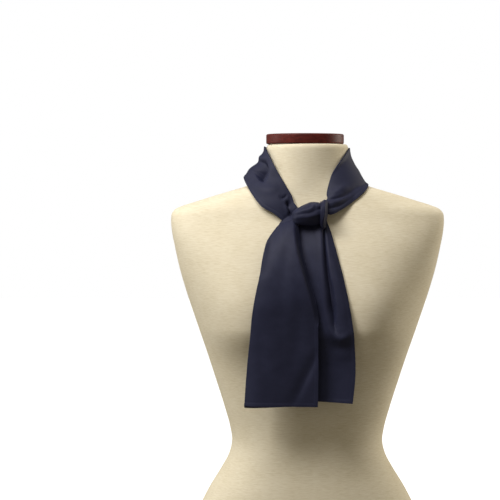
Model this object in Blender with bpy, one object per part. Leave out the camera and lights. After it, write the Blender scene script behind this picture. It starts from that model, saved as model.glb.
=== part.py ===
"""Silk scarf knotted once round the neck of a limbless dress form with a wooden neck cap.

Metres, +Z up, front towards -Y, +X to the right of someone who looks at the front. The origin
is the middle of the form's flat underside. Every table below is in millimetres.

The scarf is one oblong of silk, folded in half lengthwise with its fold on the viewer's left.
It goes round the back of the neck, its ends cross in one overhand knot at the pit of the neck,
and both tails fall over the chest. It is built as the stretches that show: the neck band, the
front turn of the knot, the fold beside it, and the two tails.
"""

import math

import bpy
import numpy as np
from mathutils import Vector
from mathutils.bvhtree import BVHTree

MM = 0.001

# The cloth
PLY = 1.0             # one layer of silk as a solid wall
BAND_WALL = 2.2       # both layers of the neck band together
KNOT_WALL = 2.0       # both layers where they are pulled tight in the knot
FOLD_RADIUS = 0.9     # from the middle of a tail to the middle of each of its layers
SEAT = 0.9            # the band's inner face stands this far off the form

# The neck cap: a turned disc of wood
CAP_RADIUS = 54.5
CAP_THICKNESS = 14.0
CAP_EDGE = 2.2        # rounding of its two rims
CAP_SHIFT = -3.3      # it sits a little off the neck's middle
CAP_GAP = 0.3

# The dress form, row by row from the underside to the top of the neck.
# height: above the underside; half_width: to either side; front and back: depth from the
# middle plane; squareness: exponent of the section, 2 is an ellipse and more is boxier
FORM_COLUMNS = ("height", "half_width", "front", "back", "squareness")
FORM_ROWS = (
    (0.0, 184.5, 99.0, 112.0, 2.2),
    (53.0, 185.2, 105.0, 122.0, 2.2),
    (90.0, 183.4, 107.0, 126.0, 2.2),
    (127.0, 180.0, 108.0, 126.0, 2.2),
    (168.0, 175.0, 106.0, 121.0, 2.2),
    (204.0, 166.5, 102.0, 113.0, 2.2),
    (240.0, 151.5, 96.0, 101.0, 2.2),
    (270.0, 136.0, 91.0, 91.0, 2.15),
    (296.0, 120.0, 86.5, 84.0, 2.1),
    (315.0, 110.0, 84.0, 80.0, 2.1),
    (333.0, 105.9, 82.5, 78.0, 2.1),
    (353.0, 108.6, 82.5, 79.0, 2.1),
    (380.0, 116.0, 84.0, 83.0, 2.15),
    (420.0, 128.6, 88.0, 90.0, 2.2),
    (460.0, 141.6, 92.5, 96.0, 2.25),
    (500.0, 155.2, 97.0, 100.0, 2.3),
    (540.0, 168.6, 99.0, 101.0, 2.45),
    (575.0, 178.9, 95.0, 99.0, 2.65),
    (605.0, 185.6, 87.0, 94.0, 2.85),
    (628.0, 190.0, 77.0, 88.0, 2.95),
    (645.0, 191.2, 68.5, 82.0, 2.95),
    (653.0, 190.2, 65.0, 78.5, 2.9),
    (659.0, 185.0, 62.5, 75.5, 2.8),
    (664.0, 173.5, 60.5, 72.5, 2.65),
    (670.0, 154.5, 58.5, 69.5, 2.5),
    (678.0, 129.0, 56.5, 65.5, 2.4),
    (685.0, 105.5, 55.5, 62.0, 2.3),
    (692.0, 84.0, 55.0, 59.5, 2.15),
    (700.0, 70.5, 54.8, 57.8, 2.05),
    (711.0, 63.0, 54.8, 56.5, 2.0),
    (725.0, 58.8, 55.3, 56.0, 2.0),
    (738.0, 57.4, 55.8, 56.2, 2.0),
    (745.5, 57.0, 55.8, 56.4, 2.0),
    (748.6, 55.6, 54.6, 55.2, 2.0),
    (749.5, 53.0, 52.0, 52.6, 2.0),
)
FORM_HEIGHT = FORM_ROWS[-1][0]
FORM_SIDES = 48
FORM_STEPS = 2        # rings per row of the table

# The bust: two soft rounds on the front
BUST_APART = 98.0     # from the middle plane to each apex
BUST_HEIGHT = 497.0
BUST_DEPTH = 28.0
BUST_WIDE = 46.0      # spread to the sides
BUST_ABOVE = 62.0     # spread upwards
BUST_BELOW = 28.0     # spread downwards

# The neck band, from its end under the left of the knot round the back to its end under the
# right of it. The inner edge lies against the neck, the outer edge on the shoulders; bow: how
# far the middle stands out from the straight line between them
BAND_COLUMNS = ("inner_x", "inner_y", "inner_z", "outer_x", "outer_y", "outer_z", "bow")
BAND_ROWS = (
    (-14.5, -67.0, 658.5, -36.3, -72.5, 643.1, 1.5),
    (-20.5, -63.5, 667.0, -48.5, -70.5, 653.0, 3.0),
    (-24.0, -59.5, 677.0, -63.5, -65.0, 661.5, 5.0),
    (-29.5, -56.0, 687.0, -75.5, -52.0, 676.5, 6.0),
    (-38.0, -50.0, 702.0, -83.5, -34.0, 690.0, 3.0),
    (-47.0, -42.0, 719.0, -87.8, -10.0, 701.0, -6.0),
    (-55.0, -27.0, 736.0, -85.5, 12.0, 702.0, 0.0),
    (-59.0, -5.0, 745.0, -69.5, 36.0, 695.0, -2.0),
    (-54.0, 27.0, 744.5, -50.0, 58.5, 687.0, 4.0),
    (-31.0, 50.5, 742.0, -28.0, 70.0, 682.0, 4.0),
    (0.0, 59.5, 740.5, 0.0, 74.0, 680.0, 3.0),
    (31.0, 50.5, 741.5, 28.0, 71.0, 681.0, 3.0),
    (53.0, 27.0, 743.0, 50.0, 59.0, 684.5, 4.0),
    (57.5, -2.0, 743.5, 66.5, 37.0, 690.0, -0.5),
    (53.0, -18.0, 739.0, 78.0, 6.0, 694.0, 1.5),
    (43.0, -35.5, 725.0, 82.5, -20.0, 688.5, 3.0),
    (33.5, -47.0, 708.5, 77.0, -40.0, 679.5, 4.0),
    (27.8, -54.5, 691.0, 60.5, -57.0, 668.5, 5.0),
    (25.0, -61.5, 678.0, 43.0, -70.0, 657.5, 5.0),
    (24.5, -67.5, 671.0, 29.5, -78.0, 651.5, 3.0),
    (15.5, -64.5, 664.5, 20.5, -68.5, 656.0, 1.0),
)
BAND_STEPS = 2
BAND_ACROSS = 8

# The front turn of the knot, row by row from its left end to its right end; the wall comes over
# the top from behind, round the front and in under the bottom
KNOT_COLUMNS = ("x", "top", "bottom", "front", "back_above", "back_below")
TURN_ROWS = (
    (-20.8, 652.0, 646.5, -79.0, -76.4, -77.7),
    (-19.8, 655.5, 643.5, -86.0, -75.0, -81.5),
    (-17.0, 658.5, 640.5, -91.5, -74.0, -85.0),
    (-12.5, 661.0, 639.0, -94.5, -72.5, -86.5),
    (-6.0, 664.6, 638.4, -96.5, -71.0, -87.2),
    (2.3, 668.0, 638.4, -97.3, -70.0, -87.4),
    (9.0, 668.2, 639.4, -96.0, -70.0, -87.2),
    (14.0, 667.6, 641.2, -94.2, -71.0, -87.0),
    (19.5, 667.0, 642.8, -92.6, -72.0, -87.0),
)
# The narrow fold that runs down beside it, over its right end
FOLD_ROWS = (
    (15.0, 670.8, 639.0, -98.6, -73.0, -87.6),
    (17.5, 671.6, 638.8, -99.6, -73.0, -87.6),
    (20.5, 672.2, 639.2, -98.6, -73.5, -87.2),
    (23.5, 671.4, 641.6, -94.2, -74.5, -85.8),
    (25.4, 668.0, 648.0, -88.0, -75.8, -82.5),
    (26.0, 664.5, 656.5, -83.5, -77.5, -80.8),
)
KNOT_STEPS = 2
KNOT_ROUND = 12

# The tails, row by row from the knot to the hem: the height and place of both long edges; how
# far the cloth stands off the line on which it would fall over the chest, at the folded edge on
# the left, in the middle and at the open edges on the right; and the place and the depth of the
# pleat that runs down from the knot
TAIL_COLUMNS = (
    "left_z", "left_x", "right_z", "right_x", "left_off", "middle_off", "right_off", "pleat_x", "pleat"
)
FRONT_TAIL_ROWS = (
    (641.6, -36.6, 655.5, -13.5, 2.8, 3.7, 4.4, -22.0, 0.0),
    (630.5, -46.5, 634.0, -15.5, 4.0, 12.0, 12.0, -24.0, 1.5),
    (615.0, -57.0, 615.0, -15.5, 4.0, 13.5, 11.0, -24.0, 2.5),
    (597.0, -61.8, 597.0, -14.0, 3.6, 12.5, 10.0, -23.0, 2.5),
    (570.0, -66.5, 570.0, -9.5, 3.2, 10.5, 9.4, -19.0, 1.5),
    (540.0, -73.0, 540.0, 1.2, 3.0, 9.0, 9.6, -10.0, 0.5),
    (513.0, -77.2, 513.0, 8.4, 3.0, 8.2, 10.0, 0.0, 0.0),
    (490.0, -79.2, 490.0, 9.6, 3.0, 8.0, 10.2, 0.0, 0.0),
    (455.0, -82.8, 455.0, 10.9, 3.4, 8.0, 10.2, 0.0, 0.0),
    (423.0, -85.4, 423.0, 10.5, 4.4, 8.6, 10.2, 0.0, 0.0),
    (394.6, -87.2, 393.4, 9.6, 5.4, 9.4, 10.6, 0.0, 0.0),
)
REAR_TAIL_ROWS = (
    (652.0, -11.5, 652.0, 22.0, 9.0, 12.0, 9.0, 15.0, 1.5),
    (640.0, -12.5, 640.0, 25.0, 8.5, 13.0, 11.0, 17.5, 3.0),
    (629.0, -13.5, 629.0, 28.8, 5.0, 11.5, 9.0, 20.0, 4.0),
    (609.0, -15.0, 609.0, 34.2, 3.0, 8.5, 6.0, 22.0, 4.5),
    (588.0, -17.0, 588.0, 39.5, 2.6, 7.0, 4.5, 22.8, 4.5),
    (569.0, -20.0, 569.0, 44.5, 2.6, 6.5, 3.8, 24.0, 4.0),
    (548.0, -24.0, 548.0, 49.2, 2.6, 6.5, 3.2, 26.0, 3.5),
    (527.0, -27.0, 527.0, 53.4, 2.6, 6.0, 3.0, 28.5, 2.5),
    (492.0, -31.0, 492.0, 58.7, 2.6, 5.2, 3.0, 33.0, 0.0),
    (455.0, -33.5, 455.0, 61.4, 2.6, 4.6, 3.2, 36.0, 0.0),
    (433.0, -35.0, 433.0, 61.4, 3.0, 4.6, 4.0, 36.0, 0.0),
    (401.6, -37.4, 397.4, 57.9, 3.6, 5.0, 5.0, 36.0, 0.0),
)
PLEAT_WIDE = 4.5
TAIL_STEPS = 2
TAIL_ACROSS = 12
FOLD_POINTS = 3       # round the lengthwise fold of a tail


# ---- tables and curves ----

def smooth_rows(rows, steps):
    """The table's rows with steps - 1 more between each pair, on a smooth curve through them all.

    Each span is a cubic whose slopes at both ends are the rise between the neighbouring rows
    over the distance between them.
    """
    rows = np.array(rows, dtype=float)
    gaps = np.linalg.norm(np.diff(rows, axis=0), axis=1)
    knots = np.concatenate(([0.0], np.cumsum(gaps)))
    slopes = np.gradient(rows, knots, axis=0)
    places = np.concatenate(
        [np.linspace(a, b, steps, endpoint=False) for a, b in zip(knots, knots[1:])] + [knots[-1:]]
    )
    span = np.clip(np.searchsorted(knots, places, side="right") - 1, 0, len(knots) - 2)
    length = (knots[span + 1] - knots[span])[:, None]
    t = (places - knots[span])[:, None] / length
    return (
        (2 * t**3 - 3 * t**2 + 1) * rows[span]
        + (t**3 - 2 * t**2 + t) * length * slopes[span]
        + (3 * t**2 - 2 * t**3) * rows[span + 1]
        + (t**3 - t**2) * length * slopes[span + 1]
    )


def columns(rows, names):
    """A dictionary from each column's name to its values, one below the other."""
    return {name: rows[:, at:at + 1] for at, name in enumerate(names)}


# ---- the dress form's surface ----

FORM = columns(smooth_rows(FORM_ROWS, FORM_STEPS), FORM_COLUMNS)


def bust(x, z):
    """How far the bust stands out of the chest: one bell for each side."""
    spread = np.where(z > BUST_HEIGHT, BUST_ABOVE, BUST_BELOW)
    rise = np.exp(-0.5 * ((z - BUST_HEIGHT) / spread) ** 2)
    left = np.exp(-0.5 * ((x + BUST_APART) / BUST_WIDE) ** 2)
    right = np.exp(-0.5 * ((x - BUST_APART) / BUST_WIDE) ** 2)
    return BUST_DEPTH * rise * (left + right)


def chest_y(x, z):
    """Depth of the form's front surface at a place across and a height."""
    height = FORM["height"].ravel()
    half, front, square = (
        np.interp(z, height, FORM[name].ravel()) for name in ("half_width", "front", "squareness")
    )
    inward = 1.0 - np.clip(np.abs(x) / half, 0.0, 0.999) ** square
    return -front * inward ** (1.0 / square) - bust(x, z)


def fall_y(x, z):
    """Depth at which cloth from the neck hangs: the foremost point of the chest above it."""
    above = np.linspace(0.0, 1.0, 60)[:, None, None]
    heights = z + (np.maximum(z, 655.0) - z) * above
    return chest_y(x, heights).min(axis=0)


def form_ring(row):
    """One level section: a ring of points round a rounded box, with the bust on its front."""
    height, half, front, back, square = row
    turn = np.linspace(0.0, 2.0 * math.pi, FORM_SIDES, endpoint=False)
    side, ahead = np.sin(turn), np.cos(turn)
    x = half * np.sign(side) * np.abs(side) ** (2.0 / square)
    depth = np.where(ahead > 0.0, -front, back) * np.abs(ahead) ** (2.0 / square)
    y = depth - bust(x, height) * np.clip(ahead, 0.0, 1.0) ** 0.5
    return np.column_stack((x, y, np.full_like(x, height)))


# ---- meshes ----

def make_object(name, points, faces, material):
    """A smooth-shaded object from points in millimetres."""
    mesh = bpy.data.meshes.new(name)
    mesh.from_pydata((np.asarray(points) * MM).tolist(), [], faces)
    mesh.update()
    mesh.shade_smooth()
    mesh.set_sharp_from_angle(angle=math.radians(40.0))
    mesh.materials.append(material)
    made = bpy.data.objects.new(name, mesh)
    bpy.context.scene.collection.objects.link(made)
    return made


def stacked_rings(name, rings, material):
    """A solid through closed rings of points from the bottom up, with a flat face at each end."""
    count, sides = len(rings), len(rings[0])
    faces = [tuple(reversed(range(sides)))]
    for low in range(count - 1):
        for side in range(sides):
            near = low * sides + side
            far = low * sides + (side + 1) % sides
            faces.append((near, far, far + sides, near + sides))
    faces.append(tuple(range((count - 1) * sides, count * sides)))
    return make_object(name, np.concatenate(rings), faces, material)


def wall(name, inside, outside, material):
    """A closed wall between two grids of points of one size, joined along all four edges."""
    rows, across = inside.shape[:2]
    shift = rows * across

    def at(row, place):
        return row * across + place

    faces = []
    for row in range(rows - 1):
        for place in range(across - 1):
            quad = (at(row, place), at(row, place + 1), at(row + 1, place + 1), at(row + 1, place))
            faces.append(quad)
            faces.append(tuple(corner + shift for corner in reversed(quad)))
    rim = (
        [at(0, place) for place in range(across)]
        + [at(row, across - 1) for row in range(1, rows)]
        + [at(rows - 1, place) for place in range(across - 2, -1, -1)]
        + [at(row, 0) for row in range(rows - 2, 0, -1)]
    )
    for here, there in zip(rim, rim[1:] + rim[:1]):
        faces.append((there, here, here + shift, there + shift))
    points = np.concatenate((inside.reshape(-1, 3), outside.reshape(-1, 3)))
    return make_object(name, points, faces, material)


def normals(grid):
    """Unit normals of a grid of points: the step along each row crossed with the step across."""
    along = np.gradient(grid, axis=0)
    across = np.gradient(grid, axis=1)
    out = np.cross(along, across)
    return out / np.linalg.norm(out, axis=2, keepdims=True)


def surface_of(made):
    """A search tree over an object's faces, in metres."""
    mesh = made.data
    corners = [vertex.co for vertex in mesh.vertices]
    return BVHTree.FromPolygons(corners, [tuple(face.vertices) for face in mesh.polygons])


def lift_off(grid, surface, clearance):
    """The grid with every point that is too near the surface moved straight out from it."""
    lifted = grid.copy()
    for index in np.ndindex(grid.shape[:2]):
        point = Vector(grid[index] * MM)
        nearest, normal, _, _ = surface.find_nearest(point)
        if (point - nearest).dot(normal) < clearance * MM:
            lifted[index] = np.array(nearest + normal * clearance * MM) / MM
    return lifted


# ---- materials ----

def material(name, colour, roughness, sheen=0.0):
    """A plain finish: colour in linear values, roughness and, on cloth, sheen."""
    made = bpy.data.materials.new(name)
    made.use_nodes = True
    shader = made.node_tree.nodes["Principled BSDF"]
    shader.inputs["Base Color"].default_value = (*colour, 1.0)
    shader.inputs["Roughness"].default_value = roughness
    shader.inputs["Metallic"].default_value = 0.0
    shader.inputs["Sheen Weight"].default_value = sheen
    return made


# ---- the pieces ----

def build_form(jersey):
    """The padded torso and neck, one smooth body on a flat underside."""
    rows = np.hstack([FORM[name] for name in FORM_COLUMNS])
    return stacked_rings("dress_form", [form_ring(row) for row in rows], jersey)


def build_cap(wood):
    """The turned disc on the neck: a profile with two rounded rims, swept round its axis."""
    low = FORM_HEIGHT + CAP_GAP
    high = low + CAP_THICKNESS
    round_off = np.radians(np.linspace(0.0, 90.0, 5))
    inset = CAP_EDGE * (1.0 - np.sin(round_off))
    climb = CAP_EDGE * (1.0 - np.cos(round_off))
    profile = [(CAP_RADIUS - i, low + c) for i, c in zip(inset, climb)]
    profile += [(CAP_RADIUS - i, high - c) for i, c in zip(inset[::-1], climb[::-1])]
    turn = np.linspace(0.0, 2.0 * math.pi, FORM_SIDES, endpoint=False)
    rings = [
        np.column_stack((
            CAP_SHIFT + radius * np.sin(turn),
            -radius * np.cos(turn),
            np.full_like(turn, height),
        ))
        for radius, height in profile
    ]
    return stacked_rings("neck_cap", rings, wood)


def build_band(silk, form):
    """The stretch round the neck: straight across from edge to edge, bowed, and off the form."""
    band = columns(smooth_rows(BAND_ROWS, BAND_STEPS), BAND_COLUMNS)
    inner = np.stack([band["inner_x"], band["inner_y"], band["inner_z"]], axis=2)
    outer = np.stack([band["outer_x"], band["outer_y"], band["outer_z"]], axis=2)
    bow = band["bow"][:, :, None]
    across = np.linspace(0.0, 1.0, BAND_ACROSS + 1)[None, :, None]
    flat = inner + (outer - inner) * across
    bowed = flat + normals(flat) * bow * 4.0 * across * (1.0 - across)
    inside = lift_off(bowed, surface_of(form), SEAT)
    outside = inside + normals(inside) * BAND_WALL
    return wall("scarf_neck_band", inside, outside, silk)


def knot_wall(name, rows, silk):
    """A turn of the knot: over the top, round the front and in under the bottom of each row."""
    knot = columns(smooth_rows(rows, KNOT_STEPS), KNOT_COLUMNS)
    around = np.linspace(0.0, 1.0, KNOT_ROUND + 1)[None, :]
    back = knot["back_above"] + (knot["back_below"] - knot["back_above"]) * around
    y = back + (knot["front"] - back) * np.sin(math.pi * around)
    middle = 0.5 * (knot["top"] + knot["bottom"])
    z = middle + (knot["top"] - middle) * np.cos(math.pi * around)
    outside = np.stack((knot["x"] + 0.0 * around, y, z), axis=2)
    inside = outside - normals(outside) * KNOT_WALL
    return wall(name, inside, outside, silk)


def tail_middle(rows):
    """The grid half-way between the two layers of a tail, from its fold to its open edges.

    It stands off the line of fall by a parabola through its three distances, less a bell-shaped
    trough along the pleat.
    """
    tail = columns(smooth_rows(rows, TAIL_STEPS), TAIL_COLUMNS)
    across = np.linspace(0.0, 1.0, TAIL_ACROSS + 1)[None, :]
    x = tail["left_x"] + (tail["right_x"] - tail["left_x"]) * across
    z = tail["left_z"] + (tail["right_z"] - tail["left_z"]) * across
    off = (
        tail["left_off"] * (1.0 - across) * (1.0 - 2.0 * across)
        + tail["middle_off"] * 4.0 * across * (1.0 - across)
        + tail["right_off"] * across * (2.0 * across - 1.0)
        - tail["pleat"] * np.exp(-0.5 * ((x - tail["pleat_x"]) / PLEAT_WIDE) ** 2)
    )
    return np.stack((x, fall_y(x, z) - off, z), axis=2)


def folded_layer(middle, distance):
    """The grid that runs at one distance from the middle: front layer, fold, back layer."""
    out = normals(middle)
    edge = middle[:, :1]
    leftward = middle[:, :1] - middle[:, 1:2]
    leftward /= np.linalg.norm(leftward, axis=2, keepdims=True)
    turn = np.linspace(0.0, math.pi, FOLD_POINTS + 2)[None, 1:-1, None]
    fold = edge + distance * (np.cos(turn) * out[:, :1] + np.sin(turn) * leftward)
    front = (middle + distance * out)[:, ::-1]
    rear = middle - distance * out
    return np.concatenate((front, fold, rear), axis=1)


def build_tail(name, rows, silk):
    """A tail: two layers of silk joined by the fold on its left and open on its right."""
    middle = tail_middle(rows)
    outside = folded_layer(middle, FOLD_RADIUS + 0.5 * PLY)
    inside = folded_layer(middle, FOLD_RADIUS - 0.5 * PLY)
    return wall(name, outside, inside, silk)


def clear_scene():
    """An empty scene to build in."""
    for old in list(bpy.data.objects):
        bpy.data.objects.remove(old, do_unlink=True)


def build():
    """All the pieces."""
    clear_scene()
    jersey = material("cream_jersey", (0.72, 0.65, 0.50), 0.85, sheen=0.2)
    wood = material("mahogany_lacquer", (0.085, 0.012, 0.010), 0.25)
    silk = material("navy_silk", (0.022, 0.024, 0.045), 0.42, sheen=0.3)
    form = build_form(jersey)
    build_cap(wood)
    build_band(silk, form)
    knot_wall("scarf_knot_turn", TURN_ROWS, silk)
    knot_wall("scarf_knot_fold", FOLD_ROWS, silk)
    build_tail("scarf_front_tail", FRONT_TAIL_ROWS, silk)
    build_tail("scarf_rear_tail", REAR_TAIL_ROWS, silk)


build()
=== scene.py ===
# %% [markdown]
# # A silk scarf knotted on a dress form
# An oblong of navy silk is folded in half lengthwise, laid round the back of the neck and tied
# in one overhand knot at the pit of the neck, so that both tails fall over the chest. The form
# is a padded torso covered in cream jersey, with a lacquered wooden cap on its neck.
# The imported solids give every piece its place. They come first and stay fixed.

# %% Load the fixed frame
import math

import bpy
import numpy as np
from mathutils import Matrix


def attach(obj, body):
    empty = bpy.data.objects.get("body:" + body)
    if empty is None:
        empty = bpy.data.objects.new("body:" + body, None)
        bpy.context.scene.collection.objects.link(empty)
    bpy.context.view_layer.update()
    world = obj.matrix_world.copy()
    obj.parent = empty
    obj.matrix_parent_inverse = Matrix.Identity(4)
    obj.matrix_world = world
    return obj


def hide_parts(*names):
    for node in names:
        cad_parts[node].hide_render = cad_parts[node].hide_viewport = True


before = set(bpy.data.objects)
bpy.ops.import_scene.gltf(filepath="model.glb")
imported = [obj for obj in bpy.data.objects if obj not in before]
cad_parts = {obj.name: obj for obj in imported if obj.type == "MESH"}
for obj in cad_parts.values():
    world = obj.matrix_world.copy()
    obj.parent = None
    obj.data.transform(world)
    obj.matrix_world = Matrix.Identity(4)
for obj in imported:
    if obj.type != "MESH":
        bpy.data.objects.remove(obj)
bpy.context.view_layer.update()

# %% [markdown]
# ## The camera
# A long lens a few steps away looks very slightly down at the chest, so upright lines stay all but
# upright and the shoulders keep their true width. It could be aimed by a constraint, but a place
# and a tilt written out are easier to read and leave nothing live in the scene.

# %% Camera
CAMERA_PLACE = (-0.08056, -2.6, 0.68551)
CAMERA_TILT = math.radians(90.0 - 1.8584)
CAMERA_LENS = 133.14

scene = bpy.context.scene
camera_lens = bpy.data.cameras.new("portrait_lens")
camera_lens.lens = CAMERA_LENS
camera_lens.sensor_width = 36.0
camera_lens.clip_end = 60.0
camera = bpy.data.objects.new("camera", camera_lens)
camera.location = CAMERA_PLACE
camera.rotation_euler = (CAMERA_TILT, 0.0, 0.0)
scene.collection.objects.link(camera)
scene.camera = camera
scene.view_settings.view_transform = "Standard"
scene.view_settings.look = "None"
print("lens", CAMERA_LENS, "mm at", CAMERA_PLACE)

# %% [markdown]
# ## Light
# Cloth is read by the way light falls off across it. The main softbox is small, near, high and
# to the left, so whatever leans left or back is bright, and every fold throws a soft shadow to
# its right. A weaker one overhead opens the shade under it. A tall panel grazes the left flank,
# and another behind the right shoulder draws a thin warm rim. One lamp close to the lens would be
# simpler, but it would flatten every fold.

# %% Softboxes
SOFTBOXES = (
    # name, place in metres, width, height, watts, colour
    ("high_left", (-1.2, -0.9, 1.9), 0.7, 0.7, 22.5, (1.0, 0.965, 0.94)),
    ("overhead", (-0.3, -0.6, 2.0), 0.7, 0.7, 11.0, (1.0, 0.965, 0.94)),
    ("left_flank", (-2.8, 0.4, 1.2), 1.5, 2.0, 24.0, (1.0, 0.985, 0.95)),
    ("right_rim", (2.6, 1.2, 1.2), 1.5, 2.0, 52.0, (1.0, 0.93, 0.82)),
)
LIT_POINT = (0.0, -0.05, 0.55)


def softbox(name, place, width, height, watts, colour):
    """An area light whose -Z axis runs from its place to the lit point."""
    lamp = bpy.data.lights.new(name, "AREA")
    lamp.shape = "RECTANGLE"
    lamp.size, lamp.size_y = width, height
    lamp.energy = watts
    lamp.color = colour
    held = bpy.data.objects.new(name, lamp)
    held.location = place
    held.visible_camera = False
    scene.collection.objects.link(held)
    aim = np.subtract(LIT_POINT, place)
    pitch = math.acos(-aim[2] / np.linalg.norm(aim))
    held.rotation_euler = (pitch, 0.0, math.atan2(-aim[0], aim[1]))


for row in SOFTBOXES:
    softbox(*row)
print(len(SOFTBOXES), "softboxes")

# %% [markdown]
# ## One helper for nodes, one for colour
# Paint charts and screens give colours as sRGB hex, but light adds up only in linear values, so
# one function converts. Another adds a node, sets its properties and its loose sockets, and
# links the rest, which keeps each material below to a short list.

# %% Helpers for materials
def linear(hexcode):
    """Linear RGBA from sRGB hex: below 0.04045 a straight line, above it a 2.4 power curve."""
    srgb = np.array([int(hexcode[at:at + 2], 16) for at in (0, 2, 4)]) / 255.0
    made = np.where(srgb <= 0.04045, srgb / 12.92, ((srgb + 0.055) / 1.055) ** 2.4)
    return (*made.tolist(), 1.0)


def add(tree, kind, values=None, links=None, **settings):
    """One node: settings are its properties, values its loose sockets, links its fed sockets."""
    made = tree.nodes.new(kind)
    for name, value in settings.items():
        setattr(made, name, value)
    for name, value in (values or {}).items():
        made.inputs[name].default_value = value
    for name, source in (links or {}).items():
        tree.links.new(source, made.inputs[name])
    return made


def new_finish(name, **shader_values):
    """An empty material with its Principled shader: returns the material, its tree and shader."""
    made = bpy.data.materials.new(name)
    made.use_nodes = True
    shader = made.node_tree.nodes["Principled BSDF"]
    for socket, value in shader_values.items():
        shader.inputs[socket.replace("_", " ")].default_value = value
    return made, made.node_tree, shader


def stretched(tree, place, scale):
    """The place multiplied by a scale along each axis, to draw a pattern out along one of them."""
    return add(tree, "ShaderNodeMapping", values={"Scale": scale}, links={"Vector": place}).outputs[0]


def ramp(tree, source, stops):
    """A colour ramp over a value: stops are (position, hex)."""
    made = add(tree, "ShaderNodeValToRGB", links={"Fac": source})
    shades = made.color_ramp.elements
    for at, (position, hexcode) in zip((0, -1), (stops[0], stops[-1])):
        shades[at].position = position
        shades[at].color = linear(hexcode)
    for position, hexcode in stops[1:-1]:
        shades.new(position).color = linear(hexcode)
    return made


print("screen grey 808080 is", round(linear("808080")[0], 3), "in linear light")

# %% [markdown]
# ## The room
# The room adds a weak warm fill. It looks white to the eye and gives less light than it shows, as
# lit paper does far behind a subject, so camera rays see one background and all other rays
# another. A white wall could stand behind the form instead, but its light would reach the folds.

# %% The room's light
ROOM_FILL = 0.20
ROOM_TINT = (1.0, 0.89, 0.72, 1.0)

room = bpy.data.worlds.new("room")
scene.world = room
room.use_nodes = True
sky = room.node_tree
sky.nodes.clear()
shown = add(sky, "ShaderNodeBackground", values={"Color": (1.0, 1.0, 1.0, 1.0), "Strength": 1.0})
given = add(sky, "ShaderNodeBackground", values={"Color": ROOM_TINT, "Strength": ROOM_FILL})
seen = add(sky, "ShaderNodeLightPath")
mixed = add(sky, "ShaderNodeMixShader", links={
    0: seen.outputs["Is Camera Ray"], 1: given.outputs[0], 2: shown.outputs[0],
})
add(sky, "ShaderNodeOutputWorld", links={"Surface": mixed.outputs[0]})
print("the room fills with", ROOM_FILL)

# %% [markdown]
# ## Navy silk
# Silk charmeuse: long filament yarns in a satin weave, so the face is smooth and its shine is
# broad and soft, stretched across the yarns. The dye is close to black, so the eye reads the
# folds by that shine and hardly by the colour. The yarns are a tenth of a millimetre and too fine
# to show, so a shallow twill line stands for the weave. It is drawn 3 mm apart, far coarser than
# the real one. Slow mottling stands for uneven yarn and dye. The pattern follows the cloth
# through the piece's own UV map, in metres along the cloth. Object coordinates would be simpler,
# but the weave would then cut straight through every fold.

# %% Material: silk charmeuse
TWILL_SCALE = 145.0                  # lines 3.1 mm apart
SLUB_SCALE = (90.0, 900.0, 1.0)      # thick places about every 20 mm across and 1.6 mm along
MOTTLE_SCALE = 60.0                  # clouds of tone about every 23 mm
SILK_RELIEF = 0.00008                # metres

silk, tree, shader = new_finish(
    "silk_charmeuse", Roughness=0.6, Specular_IOR_Level=0.2, Anisotropic=0.3,
    Sheen_Weight=0.02, Sheen_Roughness=0.5,
)
shader.inputs["Sheen Tint"].default_value = linear("8C90B8")
place = add(tree, "ShaderNodeUVMap", uv_map="cloth").outputs[0]
mottle = add(tree, "ShaderNodeTexNoise", values={"Scale": MOTTLE_SCALE, "Detail": 3.0},
             links={"Vector": place})
tone = ramp(tree, mottle.outputs["Fac"], ((0.30, "22253B"), (0.72, "282B42")))
tree.links.new(tone.outputs["Color"], shader.inputs["Base Color"])
twill = add(tree, "ShaderNodeTexWave", values={"Scale": TWILL_SCALE, "Distortion": 0.6},
            links={"Vector": place}, bands_direction="DIAGONAL")
slub = add(tree, "ShaderNodeTexNoise", values={"Scale": 1.0, "Detail": 2.0},
           links={"Vector": stretched(tree, place, SLUB_SCALE)})
relief = add(tree, "ShaderNodeMath", operation="MULTIPLY_ADD", values={1: 0.4},
             links={0: twill.outputs["Fac"], 2: slub.outputs["Fac"]})
bump = add(tree, "ShaderNodeBump", values={"Strength": 0.25, "Distance": SILK_RELIEF},
           links={"Height": relief.outputs[0]})
tree.links.new(bump.outputs[0], shader.inputs["Normal"])
print(silk.name, "has", len(tree.nodes), "nodes")

# %% [markdown]
# ## Cream jersey
# The cover of the form is a firm cotton and linen jersey stretched over padding. Its yarn is
# uneven, and the thick places show as short level streaks. It is matt, with a faint nap. The
# streaks read Object coordinates, squeezed in height so that noise becomes level dashes all
# round, one about every 9 mm along and every millimetre up. The knit's own stitches are finer than
# a millimetre and are drawn at 2.2 mm, so that they show. A pattern on a UV map would need a seam
# somewhere on the form, and this needs none.

# %% Material: slubbed cream jersey
DASH_SCALE = (110.0, 110.0, 1150.0)  # streaks about every 9 mm along and 1 mm up
CLOUD_SCALE = 26.0                   # clouds of tone about every 48 mm
KNIT_SCALE = 900.0                   # stitches about every 2.2 mm
JERSEY_RELIEF = 0.0003               # metres

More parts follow.
